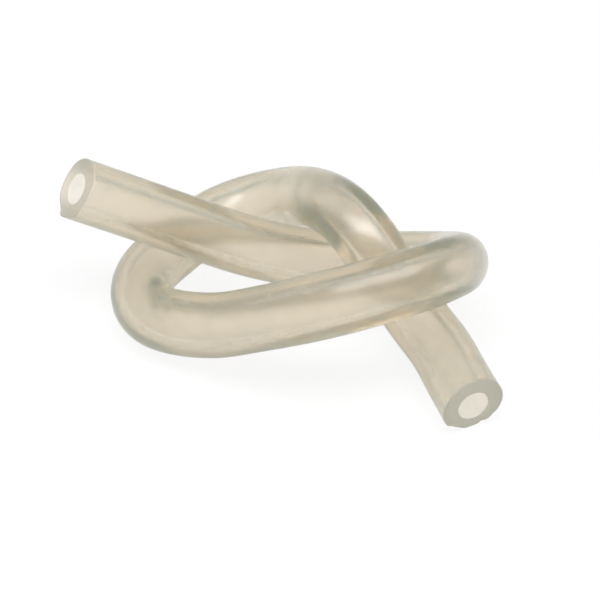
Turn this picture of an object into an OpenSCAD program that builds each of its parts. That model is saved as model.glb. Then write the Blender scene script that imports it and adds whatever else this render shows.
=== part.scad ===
// A short length of soft silicone tube tied in one loose overhand knot and laid on a table.
// It is one piece: a round section with a round bore that runs through from end to end.
// Millimetres, +Z up. The table is z = 0 and the knot is centred over the origin.

/* [Tube] */
// Diameter of the bore
bore_d = 6; // [3:0.5:12]
// Thickness of the wall round the bore
wall = 3; // [1.5:0.25:5]

/* [Knot] */
// Slack in the knot: how much wider apart its strands lie than the tube is thick
knot_slack = 0.2; // [0:0.1:4]

/* [Ends] */
// Straight length of the end that stands up off the table
upper_tail = 31.5; // [12:0.5:60]
// Straight length of the end that lies on the table
lower_tail = 12; // [8:0.5:60]
// Slant of the knife cut across the upper end, in degrees
upper_slant = 12; // [0:1:20]
// Slant of the knife cut across the lower end, in degrees
lower_slant = 5; // [0:1:20]

/* [Hidden] */
$fn = 64;

tube_colour = [0.86, 0.83, 0.75];

// Corners of the knot's route, in strand spacings: across, away, and up from the axis of a lying tube.
// Each corner is rounded into a bend. The first and last points only aim the two tails.
route = [
    [-3.5, 0.8, 1.8],       // upper end, aimed up and to the left
    [-0.1, 1.2, 0],         // comes down to the table behind the front strand
    [2.5, 1.25, 0],         // right bight, on the table
    [2.45, -1.1, 1.75],     // right bight, on top
    [0.15, -1.45, 1.25],    // front strand
    [-1.45, -0.65, 0.15],   // comes down to the table
    [-2.45, -0.15, 0],      // left bight, near corner
    [-2.65, 0.9, 0],        // left bight, far corner
    [-1.45, 2.45, 0],       // back loop, on the table
    [-0.85, 2.75, 0.1],     // back loop, farthest corner
    [-0.25, 2.6, 0.4],      // back loop, turning forwards
    [0.15, 2, 0.8],         // back loop, rising
    [0.45, 1.25, 1.2],      // passes over the first strand
    [0.75, 0.6, 1.4],       // crest
    [1.1, 0.2, 1.15],       // turns down behind the front strand
    [1.45, 0, 0.6],         // goes down through the right bight
    [1.8, -0.35, 0.1],      // comes out under the front strand
    [2.15, -0.95, 0],       // reaches the table
    [2.55, -2.15, 0]        // lower end, aimed along the table
];
// Share of each leg between two corners that each of its bends may take
bend_share = 0.48;
// The wall draws in by this much round a bend
bend_draw = 0.05;
// A straight stretch reaches this far over the bend at each of its ends
lap = 0.25;
// Directions the knife leans in, turned about each tail
upper_lean = 35;
lower_lean = 0;

bore_r = bore_d / 2;
outer_r = bore_r + wall;
outer_d = 2 * outer_r;
spacing = outer_d + knot_slack;
last = len(route) - 1;
// Stops along each bend at which its reach is read
steps = 24;

function direction(v) = v / norm(v);
function corner(i) = route[i] * spacing + [0, 0, outer_r];
function leg(i) = norm(corner(i + 1) - corner(i));
function aim(i) = direction(corner(i + 1) - corner(i));

// The bend at corner i: its reach along both legs, its turn, its radius, and where it starts and ends
function leg_before(i) = i == 1 ? leg(i) : leg(i - 1);
function leg_after(i) = i == last - 1 ? leg(i - 1) : leg(i);
function bend_reach(i) = bend_share * min(leg_before(i), leg_after(i));
function bend_turn(i) = acos(aim(i - 1) * aim(i));
function bend_radius(i) = bend_reach(i) / tan(bend_turn(i) / 2);
function bend_start(i) = corner(i) - aim(i - 1) * bend_reach(i);
function bend_end(i) = corner(i) + aim(i) * bend_reach(i);
// Unit vector from the start of the bend to its centre
function bend_side(i) = direction(aim(i) - (aim(i) * aim(i - 1)) * aim(i - 1));
function bend_point(i, turn) =
    bend_start(i) + (bend_side(i) * (1 - cos(turn)) + aim(i - 1) * sin(turn)) * bend_radius(i);
function bend_aim(i, turn) = aim(i - 1) * cos(turn) + bend_side(i) * sin(turn);

// The two cut ends, the way each faces, and the leaning plane of each cut
upper_aim = -aim(0);
lower_aim = aim(last - 1);
upper_end = bend_start(1) + upper_aim * upper_tail;
lower_end = bend_end(last - 1) + lower_aim * lower_tail;
function across(a) = direction(cross([0, 0, 1], a));
function over(a) = cross(a, across(a));
function cut_normal(a, slant, lean) =
    a * cos(slant) + (across(a) * cos(lean) + over(a) * sin(lean)) * sin(slant);

// How far the tube reaches along an axis e past its own axis: round a bend, and at a cut rim
function wall_reach(a, e) = (outer_r - bend_draw) * sqrt(max(0, 1 - (a * e) * (a * e)));
function rim_part(a, n, side, e) = side * e - (a * e) * (side * n) / (a * n);
function rim_reach(a, n, e) =
    outer_r * norm([rim_part(a, n, across(a), e), rim_part(a, n, over(a), e)]);
upper_normal = cut_normal(upper_aim, upper_slant, upper_lean);
lower_normal = cut_normal(lower_aim, lower_slant, lower_lean);
function reaches(e, s) = concat(
    [for (i = [1 : last - 1], k = [0 : steps])
        s * (bend_point(i, bend_turn(i) * k / steps) * e)
            + wall_reach(bend_aim(i, bend_turn(i) * k / steps), e)],
    [s * (upper_end * e) + rim_reach(upper_aim, upper_normal, e),
     s * (lower_end * e) + rim_reach(lower_aim, lower_normal, e)]
);
function middle(e) = (max(reaches(e, 1)) - max(reaches(e, -1))) / 2;
centre = [middle([1, 0, 0]), middle([0, 1, 0]), 0];

// Stands what follows on point p with its +Z along a
module along(p, a) {
    x = across(a);
    y = over(a);
    multmatrix([
        [x.x, y.x, a.x, p.x],
        [x.y, y.y, a.y, p.y],
        [x.z, y.z, a.z, p.z],
        [0, 0, 0, 1]
    ])
        children();
}

// A straight stretch of tube, standing on z = 0
module stretch(length) {
    difference() {
        cylinder(r = outer_r, h = length);
        translate([0, 0, -lap])
            cylinder(r = bore_r, h = length + 2 * lap);
    }
}

module bend(i) {
    c = bend_start(i) + bend_side(i) * bend_radius(i);
    x = -bend_side(i);
    y = aim(i - 1);
    z = cross(x, y);
    multmatrix([
        [x.x, y.x, z.x, c.x],
        [x.y, y.y, z.y, c.y],
        [x.z, y.z, z.z, c.z],
        [0, 0, 0, 1]
    ])
        rotate_extrude(angle = bend_turn(i))
            translate([bend_radius(i), 0])
                difference() {
                    circle(r = outer_r - bend_draw);
                    circle(r = bore_r + bend_draw);
                }
}

// The straight stretch between the bends at corners i and i + 1
module straight(i) {
    along(bend_end(i) - aim(i) * lap, aim(i))
        stretch(norm(bend_start(i + 1) - bend_end(i)) + 2 * lap);
}

// A straight end, from the bend out to its slanted cut
module tail(from, a, length, slant, lean) {
    spare = outer_d;
    along(from - a * lap, a)
        difference() {
            stretch(length + lap + spare);
            translate([0, 0, length + lap])
                rotate([0, 0, lean])
                    rotate([0, slant, 0])
                        translate([-2 * outer_d, -2 * outer_d, 0])
                            cube([4 * outer_d, 4 * outer_d, 4 * outer_d]);
        }
}

module tube() {
    color(tube_colour)
        translate(-centre) {
            for (i = [1 : last - 1])
                bend(i);
            for (i = [1 : last - 2])
                straight(i);
            tail(bend_start(1), upper_aim, upper_tail, upper_slant, upper_lean);
            tail(bend_end(last - 1), lower_aim, lower_tail, lower_slant, lower_lean);
        }
}

tube();
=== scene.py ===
# A short length of translucent silicone tube, tied in a loose overhand knot and laid on a white table.
# Metres, +Z up, in the frame of the CAD part.
import math

import bpy
import numpy as np
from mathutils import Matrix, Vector


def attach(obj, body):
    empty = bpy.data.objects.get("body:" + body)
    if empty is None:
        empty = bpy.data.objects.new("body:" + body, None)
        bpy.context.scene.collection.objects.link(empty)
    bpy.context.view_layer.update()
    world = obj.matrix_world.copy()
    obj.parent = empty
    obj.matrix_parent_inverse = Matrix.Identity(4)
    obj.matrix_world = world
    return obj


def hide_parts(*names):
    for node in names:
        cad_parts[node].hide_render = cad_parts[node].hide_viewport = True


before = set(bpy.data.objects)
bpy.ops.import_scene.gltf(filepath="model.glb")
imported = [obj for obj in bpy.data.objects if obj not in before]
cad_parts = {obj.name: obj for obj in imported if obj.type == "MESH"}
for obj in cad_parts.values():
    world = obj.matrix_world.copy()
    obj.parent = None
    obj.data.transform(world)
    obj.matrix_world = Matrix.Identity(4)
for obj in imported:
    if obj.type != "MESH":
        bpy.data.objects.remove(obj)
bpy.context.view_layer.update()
scene = bpy.context.scene

# Sizes of the tube and of its two straight ends
OUTER_R = 0.006
BORE_R = 0.003
UPPER_TAIL = 0.0315
LOWER_TAIL = 0.012
# Slant of each knife cut and the direction it leans in, in degrees
UPPER_SLANT, UPPER_LEAN = 12, 35
LOWER_SLANT, LOWER_LEAN = 5, 0

# Corners of the knot's route, in strand spacings: across, away, and up from the axis of a lying tube
SPACING = 0.0122
BEND_SHARE = 0.48
ROUTE = [
    (-3.5, 0.8, 1.8),       # upper end, aimed up and to the left
    (-0.1, 1.2, 0),         # comes down to the table behind the front strand
    (2.5, 1.25, 0),         # right bight, on the table
    (2.45, -1.1, 1.75),     # right bight, on top
    (0.15, -1.45, 1.25),    # front strand
    (-1.45, -0.65, 0.15),   # comes down to the table
    (-2.45, -0.15, 0),      # left bight, near corner
    (-2.65, 0.9, 0),        # left bight, far corner
    (-1.45, 2.45, 0),       # back loop, on the table
    (-0.85, 2.75, 0.1),     # back loop, farthest corner
    (-0.25, 2.6, 0.4),      # back loop, turning forwards
    (0.15, 2, 0.8),         # back loop, rising
    (0.45, 1.25, 1.2),      # passes over the first strand
    (0.75, 0.6, 1.4),       # crest
    (1.1, 0.2, 1.15),       # turns down behind the front strand
    (1.45, 0, 0.6),         # goes down through the right bight
    (1.8, -0.35, 0.1),      # comes out under the front strand
    (2.15, -0.95, 0),       # reaches the table
    (2.55, -2.15, 0),       # lower end, aimed along the table
]
# The part's origin lies under the middle of the knot: the route moves by this much to suit
CENTRING = np.array((0.004613, -0.004817, 0))

# The mesh: metres between stations along the tube; every how many stations the outside and the bore have a ring; how
# many stations at each end all have one; sides round it; rings across a cut
STEP = 0.00025
OUTER_EVERY = 3
BORE_EVERY = 4
CLOSE_STATIONS = 12
SIDES = 96
FACE_RINGS = 9
BEND_STOPS = 40
# Lengths that the axis is drawn smooth over, so that its bends run into its straights, and the bend read from it
EASE = 0.0018
BEND_EASE = 0.002
# Where the soft tube gives way: middle of the length that moves, half of it, and how far it moves
SAGS = [
    (0.184, 0.010, (0.0006, 0, 0)),
    (0.2185, 0.010, (0, -0.0008, -0.0002)),
    (0.277, 0.009, (0.0005, 0, 0)),
]
# A soft tube flattens on the outer side of a bend: distance from the upper end to the middle of the flattened
# length, half of it, and the share of the radius that a bend as tight as the tube itself would press in
FLATTENED = [(0.089, 0.022, 0.36), (0.235, 0.026, 0.36)]
# A flattened length is even over most of its run: the power that it falls off with
FLATTENED_POWER = 4
# The bore's wall moves in by this share of what the outside does
BORE_FOLLOWS = 0.7
# It bulges on the inner side: middle, half length, height
BULGES = [(0.2205, 0.0085, 0.0008)]
# Where its own tension presses it in, or out where the depth is below 0: middle, half length, the way that side
# faces, and depth
DENTS = [
    (0.098, 0.010, (1, -0.1, 0), 0.0006),
    (0.098, 0.010, (0.6, -0.5, -0.6), 0.0006),
    (0.126, 0.012, (0, -0.64, -0.77), -0.0003),
    (0.155, 0.010, (0, 0.64, 0.77), -0.0004),
    (0.164, 0.009, (-0.75, -0.65, 0), -0.0004),
]
# A bend gentler than this share of one as tight as the tube's radius counts as straight
STRAIGHT = 0.001
# Creases on the inner side of a bend: distance from the upper end, half width along the tube, depth
CREASES = [(0.1728, 0.0016, 0.0004)]
# The power that keeps a crease near the middle of the inner side
CREASE_POWER = 4
# The knife's edge is rounded by this much, its slant runs out over one length and its marks over another
RIM = 0.00012
RUN_OUT = 0.006
MARK_RUN_OUT = 0.0014
# Marks round a cut rim: angle and half width in degrees, seen from outside and from the right-hand side up;
# how far the rim stands out along the tube; how far it stands out from it
UPPER_MARKS = [
    (-80, 10, 0.0004, 0.0003),
    (-48, 8, 0, -0.0002),
    (60, 18, -0.0002, -0.0001),
    (150, 25, 0.0001, 0),
]
LOWER_MARKS = [
    (-90, 40, -0.0005, -0.0002),
    (-128, 15, -0.0004, -0.0004),
    (-112, 6, -0.0002, -0.0001),
    (-66, 5, -0.0002, -0.0002),
    (-52, 4, 0.0001, -0.0001),
    (-40, 6, -0.0001, -0.0001),
    (112, 16, -0.0005, -0.0001),
    (68, 12, -0.0003, 0),
]
# Long waves of the knife across a cut: waves round the rim, depth, turn in degrees
CUT_WAVES = [(2, 0.00008, 40), (3, 0.00006, 110), (5, 0.00004, 10)]

# The photograph's view: the camera's elevation in degrees, its distance, and the height above the table it aims at
CAMERA_ELEVATION = 40
CAMERA_DISTANCE = 0.3172
CAMERA_AIM_UP = 0.00844
# Sensor and focal length in millimetres
SENSOR = 36
LENS = 99
# Half the side of the floor, and its paint
FLOOR_HALF = 3.0
FLOOR_PAINT = (0.95, 0.95, 0.95, 1)
# Light of the room round the table, and the lamp: a long softbox above, a little towards the camera (watts, metres)
WORLD = 0.3
KEY = 5.5
KEY_PLACE = (0, -0.15, 0.69)
KEY_SIZE = (0.7, 0.3)
# The surround's white, as the camera sees it and as gloss and silicone show it: the far backdrop, and the table top
BACKDROP = {"Is Camera Ray": 1.0, "Is Glossy Ray": 0.65, "Is Transmission Ray": 0.45}
TABLE = {"Is Camera Ray": 0.88, "Is Glossy Ray": 0.4, "Is Transmission Ray": 0.8}

# The silicone's skin: two tints it varies between, and its roughness
SKIN_PALE = (1, 0.99, 0.97, 1)
SKIN_WARM = (0.97, 0.94, 0.9, 1)
ROUGH = 0.245
ROUGH_VARIES = 0.02
# Silicone's refractive index
IOR = 1.41
# The knife leaves the cuts rougher, less clear and a little darker
CUT_ROUGHER = 0.25
CUT_THROUGH = 0.6
CUT_TINT = (0.8, 0.745, 0.64, 1)
# Specks of dust: cells to the metre with one speck each at most, size as a share of a cell, the share of a speck that
# is darkest, strength, colour
SPECK_CELLS = 130
SPECK_SIZE = 0.018
SPECK_CORE = 0.6
SPECK_DARK = 0.8
SPECK_TINT = (0.25, 0.2, 0.14, 1)
# Thin patchy film on the bore's wall: strength, and the noise at which a patch starts and is full
BORE_FILM = 0.1
FILM_STARTS, FILM_FULL = 0.45, 0.7
# Height of the skin's waves in metres, and of the drawing lines and the knife's scores as shares of it
BUMP = 0.00003
LINES_SHARE = 0.12
SCORES_SHARE = 0.5
# Most of a noise lies between these
NOISE_LOW, NOISE_HIGH = 0.3, 0.7
# Noises over the tube's own places: scale, detail, and stretch in two directions across it and along it
TINT_NOISE = (90, 3, (1, 1, 0.5))
FILM_NOISE = (420, 4, (1, 1, 0.5))
SATIN_NOISE = (260, 4, (1, 1, 0.3))
WAVE_NOISE = (150, 2, (1, 1, 0.4))
LINE_NOISE = (2200, 2, (1, 1, 0.01))
SCORE_NOISE = (1500, 3, (1, 0.15, 1))
# Inside the wall: what it takes out of the light, and the haze that makes it milky (per metre)
ABSORB = (0.7, 0.66, 0.3, 1)
ABSORB_D = 46
SCATTER = (0.52, 0.78, 1.0, 1)
SCATTER_D = 110
SCATTER_G = 0.65

# How often light may turn in the haze, and at surfaces
VOLUME_BOUNCES = 16
LIGHT_BOUNCES = 24


def unit(v):
    return v / np.linalg.norm(v)


def near(place, middle, half, power=2):
    """1 at the middle, and next to nothing at twice the half length from it."""
    return np.exp(-((place - middle) / half) ** power)


def resample(points, step):
    """Points an even step apart along a line of points."""
    gaps = np.linalg.norm(np.diff(points, axis=0), axis=1)
    along = np.concatenate([[0], np.cumsum(gaps)])
    count = int(round(along[-1] / step)) + 1
    stops = np.linspace(0, along[-1], count)
    return np.stack([np.interp(stops, along, points[:, k]) for k in range(3)], axis=1)


def eased(points, reach, step):
    """The line drawn smooth over about the given reach, with its straight ends kept."""
    half = int(3 * reach / step)
    weights = np.exp(-0.5 * (np.arange(-half, half + 1) * step / reach) ** 2)
    weights /= weights.sum()
    k = np.arange(1, half + 1)[:, None]
    before = points[0] - (points[1] - points[0]) * k[::-1]
    after = points[-1] + (points[-1] - points[-2]) * k
    padded = np.concatenate([before, points, after])
    return np.stack([np.convolve(padded[:, c], weights, "valid") for c in range(3)], axis=1)


def axis_line():
    """The tube's axis from its upper end to its lower one: straights and round bends, then eased."""
    corners = np.array(ROUTE) * SPACING + (0, 0, OUTER_R)
    legs = np.diff(corners, axis=0)
    lengths = np.linalg.norm(legs, axis=1)
    aims = legs / lengths[:, None]
    last = len(corners) - 1
    points = []
    for i in range(1, last):
        before = lengths[i] if i == 1 else lengths[i - 1]
        after = lengths[i - 1] if i == last - 1 else lengths[i]
        reach = BEND_SHARE * min(before, after)
        a, b = aims[i - 1], aims[i]
        turn = math.acos(a @ b)
        radius = reach / math.tan(turn / 2)
        side = unit(b - (a @ b) * a)
        start = corners[i] - a * reach
        if i == 1:
            points.append(start - a * UPPER_TAIL)
        for t in np.linspace(0, turn, BEND_STOPS):
            points.append(start + (side * (1 - math.cos(t)) + a * math.sin(t)) * radius)
    points.append(points[-1] + aims[-1] * LOWER_TAIL)
    line = resample(np.array(points), STEP)
    line = resample(eased(line, EASE, STEP), STEP) + CENTRING
    places = np.arange(len(line)) * STEP
    for middle, half, move in SAGS:
        line += near(places, middle, half)[:, None] * np.array(move)
    return line


def frames(line):
    """Directions along the line, two directions across it that turn as little as they can, and its bend."""
    along = np.gradient(line, STEP, axis=0)
    along /= np.linalg.norm(along, axis=1)[:, None]
    bend = eased(np.gradient(along, STEP, axis=0), BEND_EASE, STEP)
    across = np.zeros_like(line)
    across[0] = unit(np.cross((0, 0, 1), -along[0]))
    for i in range(1, len(line)):
        c = across[i - 1] - (across[i - 1] @ along[i]) * along[i]
        across[i] = unit(c)
    return along, across, np.cross(along, across), bend


def cut_normal(a, slant, lean):
    """The normal of a knife cut across a tail that points along a."""
    slant, lean = math.radians(slant), math.radians(lean)
    x = unit(np.cross((0, 0, 1), a))
    y = np.cross(a, x)
    return a * math.cos(slant) + (x * math.cos(lean) + y * math.sin(lean)) * math.sin(slant)


class Cut:
    """A knife cut across an end: its leaning plane and the marks round its rim."""

    def __init__(self, aim, slant, lean, marks):
        self.aim = aim
        self.normal = cut_normal(aim, slant, lean)
        self.right = unit(np.cross((0, 0, 1), aim))
        self.up = np.cross(aim, self.right)
        self.marks = marks

    def plane(self, offsets):
        """How far points across the tube slide along the aim to lie in the plane."""
        return -(offsets @ self.normal) / (self.aim @ self.normal)

    def rim(self, spokes):
        """How far the marks move the rim along the aim, and out from the tube."""
        angle = np.arctan2(spokes @ self.up, spokes @ self.right)
        ahead, out = np.zeros(len(spokes)), np.zeros(len(spokes))
        for count, depth, turn in CUT_WAVES:
            ahead += depth * np.sin(count * angle + math.radians(turn))
        for place, width, stands_ahead, stands_out in self.marks:
            gap = np.degrees(np.angle(np.exp(1j * (angle - math.radians(place)))))
            share = near(gap, 0, width)
            ahead += stands_ahead * share
            out += stands_out * share
        return ahead, out


class Tube:
    """The swept tube: places a ring of points at any station and radius."""

    def __init__(self):
        self.line = axis_line()
        self.along, self.across, self.over, self.bend = frames(self.line)
        self.length = STEP * (len(self.line) - 1)
        self.upper = Cut(-self.along[0], UPPER_SLANT, UPPER_LEAN, UPPER_MARKS)
        self.lower = Cut(self.along[-1], LOWER_SLANT, LOWER_LEAN, LOWER_MARKS)
        self.turns = np.arange(SIDES) * 2 * math.pi / SIDES

    def spokes(self, i):
        """Unit directions from the axis to the points of a ring at station i."""
        c, s = np.cos(self.turns)[:, None], np.sin(self.turns)[:, None]
        return c * self.across[i] + s * self.over[i]

    def pressed(self, i, spokes):
        """How far the outside is pressed in at a station where the tube bends."""
        tightness = np.linalg.norm(self.bend[i])
        if tightness * OUTER_R < STRAIGHT:
            return np.zeros(SIDES)
        s = i * STEP
        inner = spokes @ self.bend[i] / tightness
        depth = np.zeros(SIDES)
        for middle, half, amount in FLATTENED:
            share = amount * near(s, middle, half, FLATTENED_POWER)
            depth += share * tightness * OUTER_R ** 2 * np.maximum(0, -inner) ** 2
        for middle, half, high in BULGES:
            depth -= high * near(s, middle, half) * np.maximum(0, inner) ** 2
        for middle, half, faces, deep in DENTS:
            depth += deep * near(s, middle, half) * np.maximum(0, spokes @ unit(np.array(faces))) ** 2
        for middle, half, deep in CREASES:
            depth += deep * near(s, middle, half) * np.maximum(0, inner) ** CREASE_POWER
        return depth

    def ring(self, i, radius, set_back=0.0):
        """The ring at a station; set_back draws it in from the cut along the tube."""
        s = i * STEP
        cut, away = (self.upper, s) if s < self.length / 2 else (self.lower, self.length - s)
        spokes = self.spokes(i)
        wall_share = (radius - BORE_R) / (OUTER_R - BORE_R)
        follows = BORE_FOLLOWS + (1 - BORE_FOLLOWS) * wall_share
        ahead, out = cut.rim(spokes)
        mark_share = wall_share * max(0.0, 1 - away / MARK_RUN_OUT)
        reach = radius - follows * self.pressed(i, spokes) + mark_share * out
        offsets = spokes * reach[:, None]
        slide = max(0.0, 1 - away / RUN_OUT) * cut.plane(offsets) + mark_share * ahead - set_back
        return self.line[i] + offsets + slide[:, None] * cut.aim


def tube_mesh(tube):
    """Rings down the outside, across the lower cut, back along the bore and across the upper cut."""
    last = len(tube.line) - 1
    rings, local, cut_share, bore_share = [], [], [], []

    def stations(every):
        """Station numbers from end to end, every one close to a cut."""
        return [i for i in range(last + 1)
                if i % every == 0 or min(i, last - i) <= CLOSE_STATIONS]

    def add(i, radius, set_back=0.0, on_cut=0.0):
        rings.append(tube.ring(i, radius, set_back))
        for t in tube.turns:
            local.append((radius * math.cos(t), radius * math.sin(t), i * STEP))
        cut_share.extend([on_cut] * SIDES)
        bore_share.extend([float(radius == BORE_R)] * SIDES)

    def wall(numbers, radius):
        for i in numbers:
            add(i, radius, RIM if i in (0, last) else 0.0)

    def face(i, radii):
        for radius in radii:
            add(i, radius, on_cut=1.0)

    inwards = np.linspace(OUTER_R - RIM, BORE_R + RIM, FACE_RINGS)
    wall(stations(OUTER_EVERY), OUTER_R)
    face(last, inwards)
    wall(stations(BORE_EVERY)[::-1], BORE_R)
    face(0, inwards[::-1])

    count = len(rings)
    quads = []
    for r in range(count):
        a, b = r * SIDES, ((r + 1) % count) * SIDES
        for k in range(SIDES):
            n = (k + 1) % SIDES
            quads.append((a + k, a + n, b + n, b + k))
    return np.concatenate(rings), quads, np.array(local), np.array(cut_share), np.array(bore_share)


def make_tube():
    """The tube as one closed mesh, attached to the part's root in place of the part's own tube."""
    tube = Tube()
    points, quads, local, cut_share, bore_share = tube_mesh(tube)
    mesh = bpy.data.meshes.new("knotted_tube")
    mesh.from_pydata(points.tolist(), [], quads)
    mesh.update()
    for face in mesh.polygons:
        face.use_smooth = True
    place = mesh.attributes.new("tube_place", "FLOAT_VECTOR", "POINT")
    place.data.foreach_set("vector", local.ravel())
    for name, values in (("on_cut", cut_share), ("in_bore", bore_share)):
        mesh.attributes.new(name, "FLOAT", "POINT").data.foreach_set("value", values)
    obj = bpy.data.objects.new("knotted_tube", mesh)
    scene.collection.objects.link(obj)
    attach(obj, "root")
    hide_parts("tube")
    return obj


def nodes_of(material):
    """The nodes and the links of a material's tree, emptied."""
    material.use_nodes = True
    tree = material.node_tree
    tree.nodes.clear()
    return tree.nodes, tree.links


def silicone():
    """Milky silicone: satin skin with long, faint drawing lines, matte cuts, light scattered in the wall."""
    material = bpy.data.materials.new("silicone")
    nodes, links = nodes_of(material)

    def node(kind, **settings):
        made = nodes.new("ShaderNode" + kind)
        for name, value in settings.items():
            setattr(made, name, value)
        return made

    def noise(scale, detail, stretch):
        """Noise over the tube's own places: round it and along it."""
        space = node("Mapping")
        space.inputs["Scale"].default_value = stretch
        links.new(place, space.inputs["Vector"])
        made = node("TexNoise")
        made.inputs["Scale"].default_value = scale
        made.inputs["Detail"].default_value = detail
        links.new(space.outputs["Vector"], made.inputs["Vector"])
        return made.outputs["Fac"]

    def ranged(value, low, high, start=NOISE_LOW, stop=NOISE_HIGH):
        """The value's range from start to stop, drawn out from low to high."""
        made = node("MapRange")
        made.inputs["From Min"].default_value = start
        made.inputs["From Max"].default_value = stop
        made.inputs["To Min"].default_value = low
        made.inputs["To Max"].default_value = high
        links.new(value, made.inputs["Value"])
        return made.outputs["Result"]

    def maths(operation, a, b):
        made = node("Math", operation=operation)
        links.new(a, made.inputs[0])
        links.new(b, made.inputs[1])
        return made.outputs["Value"]

    def mixed(share, a, b):
        """One colour or the other, by share; either is a colour or another mix."""
        made = node("Mix", data_type="RGBA")
        for name, colour in (("A", a), ("B", b)):
            if isinstance(colour, tuple):
                made.inputs[name].default_value = colour
            else:
                links.new(colour, made.inputs[name])
        links.new(share, made.inputs["Factor"])
        return made.outputs["Result"]

    place = node("Attribute", attribute_name="tube_place").outputs["Vector"]
    cut = node("Attribute", attribute_name="on_cut").outputs["Fac"]
    bore = node("Attribute", attribute_name="in_bore").outputs["Fac"]

    cells = node("TexVoronoi")
    cells.inputs["Scale"].default_value = SPECK_CELLS
    links.new(place, cells.inputs["Vector"])
    specks = ranged(cells.outputs["Distance"], SPECK_DARK, 0, SPECK_SIZE * SPECK_CORE, SPECK_SIZE)
    tint = mixed(ranged(noise(*TINT_NOISE), 0, 1), SKIN_PALE, SKIN_WARM)
    tint = mixed(cut, tint, CUT_TINT)
    tint = mixed(specks, tint, SPECK_TINT)
    film = maths("MULTIPLY", ranged(noise(*FILM_NOISE), 0, BORE_FILM, FILM_STARTS, FILM_FULL), bore)

    skin = node("BsdfPrincipled")
    skin.inputs["IOR"].default_value = IOR
    links.new(tint, skin.inputs["Base Color"])
    satin = ranged(noise(*SATIN_NOISE), ROUGH - ROUGH_VARIES, ROUGH + ROUGH_VARIES)
    rough = maths("ADD", satin, ranged(cut, 0, CUT_ROUGHER, 0, 1))
    links.new(rough, skin.inputs["Roughness"])
    clear = maths("SUBTRACT", ranged(cut, 1, CUT_THROUGH, 0, 1), film)
    links.new(clear, skin.inputs["Transmission Weight"])

    lines = ranged(noise(*LINE_NOISE), 0, LINES_SHARE, 0, 1)
    scores = maths("MULTIPLY", ranged(noise(*SCORE_NOISE), 0, SCORES_SHARE, 0, 1), cut)
    height = maths("ADD", ranged(noise(*WAVE_NOISE), 0, 1, 0, 1), lines)
    bump = node("Bump")
    bump.inputs["Strength"].default_value = 1
    bump.inputs["Distance"].default_value = BUMP
    links.new(maths("ADD", height, scores), bump.inputs["Height"])
    links.new(bump.outputs["Normal"], skin.inputs["Normal"])

    absorb = node("VolumeAbsorption")
    absorb.inputs["Color"].default_value = ABSORB
    absorb.inputs["Density"].default_value = ABSORB_D
    scatter = node("VolumeScatter")
    scatter.inputs["Color"].default_value = SCATTER
    scatter.inputs["Density"].default_value = SCATTER_D
    scatter.inputs["Anisotropy"].default_value = SCATTER_G
    both = node("AddShader")
    links.new(absorb.outputs[0], both.inputs[0])
    links.new(scatter.outputs[0], both.inputs[1])
    out = node("OutputMaterial")
    links.new(skin.outputs["BSDF"], out.inputs["Surface"])
    links.new(both.outputs[0], out.inputs["Volume"])
    return material


def make_camera():
    """The photograph's view, from the front."""
    elevation = math.radians(CAMERA_ELEVATION)
    target = Vector((CENTRING[0], CENTRING[1], CAMERA_AIM_UP))
    back = Vector((0, -math.cos(elevation), math.sin(elevation)))
    data = bpy.data.cameras.new("camera")
    data.sensor_width = SENSOR
    data.lens = LENS
    camera = bpy.data.objects.new("camera", data)
    camera.location = target + back * CAMERA_DISTANCE
    camera.rotation_mode = "QUATERNION"
    camera.rotation_quaternion = (-back).to_track_quat("-Z", "Y")
    scene.collection.objects.link(camera)
    scene.camera = camera


def seen_share(nodes, links, shares):
    """The share of plain white for rays that show the surround: from the camera, or by way of gloss or silicone."""
    path = nodes.new("ShaderNodeLightPath")
    total = None
    for name, amount in shares.items():
        share = nodes.new("ShaderNodeMath")
        share.operation = "MULTIPLY"
        share.inputs[1].default_value = amount
        links.new(path.outputs[name], share.inputs[0])
        if total is None:
            total = share.outputs[0]
            continue
        top = nodes.new("ShaderNodeMath")
        top.operation = "MAXIMUM"
        links.new(total, top.inputs[0])
        links.new(share.outputs[0], top.inputs[1])
        total = top.outputs[0]
    return total


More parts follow.
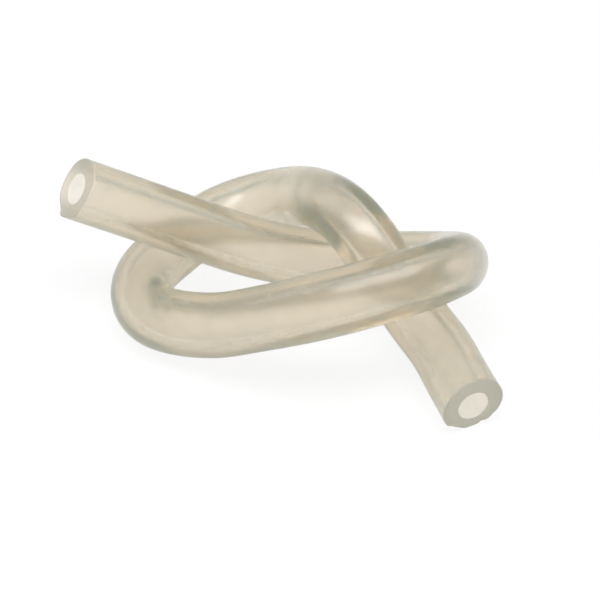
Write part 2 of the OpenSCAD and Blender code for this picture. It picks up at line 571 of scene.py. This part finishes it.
def make_floor():
    """The white table top."""
    half = FLOOR_HALF
    mesh = bpy.data.meshes.new("floor")
    corners = [(-half, -half, 0), (half, -half, 0), (half, half, 0), (-half, half, 0)]
    mesh.from_pydata(corners, [], [(0, 1, 2, 3)])
    floor = bpy.data.objects.new("floor", mesh)
    scene.collection.objects.link(floor)
    material = bpy.data.materials.new("floor")
    nodes, links = nodes_of(material)
    out = nodes.new("ShaderNodeOutputMaterial")
    paint = nodes.new("ShaderNodeBsdfDiffuse")
    paint.inputs["Color"].default_value = FLOOR_PAINT
    white = nodes.new("ShaderNodeEmission")
    white.inputs["Strength"].default_value = 1
    both = nodes.new("ShaderNodeMixShader")
    links.new(seen_share(nodes, links, TABLE), both.inputs["Fac"])
    links.new(paint.outputs[0], both.inputs[1])
    links.new(white.outputs[0], both.inputs[2])
    links.new(both.outputs[0], out.inputs["Surface"])
    mesh.materials.append(material)


def make_light():
    """The room's light with the backdrop's white in it, and the lamp."""
    world = bpy.data.worlds.new("studio")
    scene.world = world
    world.use_nodes = True
    nodes, links = world.node_tree.nodes, world.node_tree.links
    nodes.clear()
    out = nodes.new("ShaderNodeOutputWorld")
    sky = nodes.new("ShaderNodeBackground")
    sky.inputs["Color"].default_value = (1, 1, 1, 1)
    shown = nodes.new("ShaderNodeMath")
    shown.operation = "MAXIMUM"
    shown.inputs[1].default_value = WORLD
    links.new(seen_share(nodes, links, BACKDROP), shown.inputs[0])
    links.new(shown.outputs[0], sky.inputs["Strength"])
    links.new(sky.outputs[0], out.inputs["Surface"])

    data = bpy.data.lights.new("key", "AREA")
    data.shape = "RECTANGLE"
    data.size, data.size_y = KEY_SIZE
    data.energy = KEY
    lamp = bpy.data.objects.new("key", data)
    lamp.location = KEY_PLACE
    lamp.rotation_mode = "QUATERNION"
    lamp.rotation_quaternion = (-Vector(KEY_PLACE)).to_track_quat("-Z", "Y")
    scene.collection.objects.link(lamp)


make_camera()
tube = make_tube()
tube.data.materials.append(silicone())
make_floor()
make_light()

scene.view_settings.view_transform = "Standard"
scene.cycles.volume_bounces = VOLUME_BOUNCES
scene.cycles.max_bounces = LIGHT_BOUNCES
scene.cycles.transmission_bounces = LIGHT_BOUNCES
